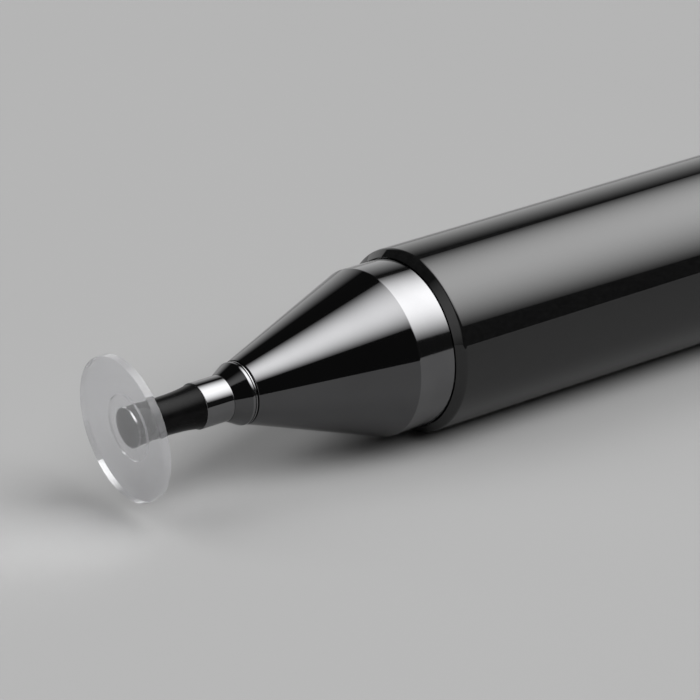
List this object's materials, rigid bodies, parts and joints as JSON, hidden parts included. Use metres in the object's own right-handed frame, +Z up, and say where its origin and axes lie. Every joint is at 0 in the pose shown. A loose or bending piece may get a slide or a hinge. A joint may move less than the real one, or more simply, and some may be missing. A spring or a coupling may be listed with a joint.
{
  "type": "disc-tip stylus pen",
  "caption": "Slim stylus pen for touch screens: clear disc on a ball joint, conical nose, tubular barrel, and a clipped cap posted on its tail.",
  "frame": {"origin": "on the pen's axis, in the plane of the barrel's mouth, where a cap seats", "axes": "+X along the pen from its tip to its tail, +Z up, pen lying on a surface at z = -4.5 mm"},
  "size_m": [0.1421, 0.0107, 0.009],
  "materials": {
    "clear_plastic": "clear gloss",
    "steel": "polished",
    "black_plastic": "satin",
    "bright_chrome": "mirror",
    "brass": "turned",
    "rubber": "matt",
    "black_chrome": "dark mirror",
    "magnet": "nickel plated",
    "gunmetal_lacquer": "glossy gunmetal lacquer",
    "cap_lacquer": "glossy gunmetal lacquer"
  },
  "bodies": {
    "pen": {"nose_collar": "black_chrome", "nose_cone": "black_chrome", "front_magnet": "magnet", "front_insert": "brass", "barrel": "gunmetal_lacquer", "rear_insert": "brass", "rear_magnet": "magnet", "rear_spigot": "black_chrome"},
    "tip": {"neck_sleeve": "black_plastic", "ferrule": "bright_chrome", "tip_stem": "brass", "tip_o_ring": "rubber"},
    "pivot": {"ball_pin": "steel"},
    "disc": {"tip_disc": "clear_plastic", "disc_socket": "black_plastic"},
    "cap": {"cap_tube": "cap_lacquer", "inner_cap": "black_plastic", "clip_ring": "black_chrome", "crown_screw": "steel", "crown": "black_chrome"},
    "clip": {"clip_arm": "black_chrome"}
  },
  "joints": [
    {"name": "tip_pull", "type": "slide", "parent": "pen", "child": "tip", "axis": [-1, 0, 0], "range_m": [0, 0.008]},
    {"name": "disc_spin", "type": "hinge", "parent": "tip", "child": "pivot", "pos_m": [-0.01504, 0, 0], "axis": [1, 0, 0], "continuous": true},
    {"name": "disc_tilt", "type": "hinge", "parent": "pivot", "child": "disc", "pos_m": [-0.01504, 0, 0], "axis": [0, -0.788, -0.6157], "range_deg": [-34, 21.5]},
    {"name": "cap_pull", "type": "slide", "parent": "pen", "child": "cap", "axis": [1, 0, 0], "range_m": [0, 0.045]},
    {"name": "clip_flex", "type": "hinge", "parent": "cap", "child": "clip", "pos_m": [0.122, -0.00512, -0.00294], "axis": [0, -0.498, 0.8672], "range_deg": [0, 5], "stiffness_Nm_per_rad": 1.5}
  ]
}
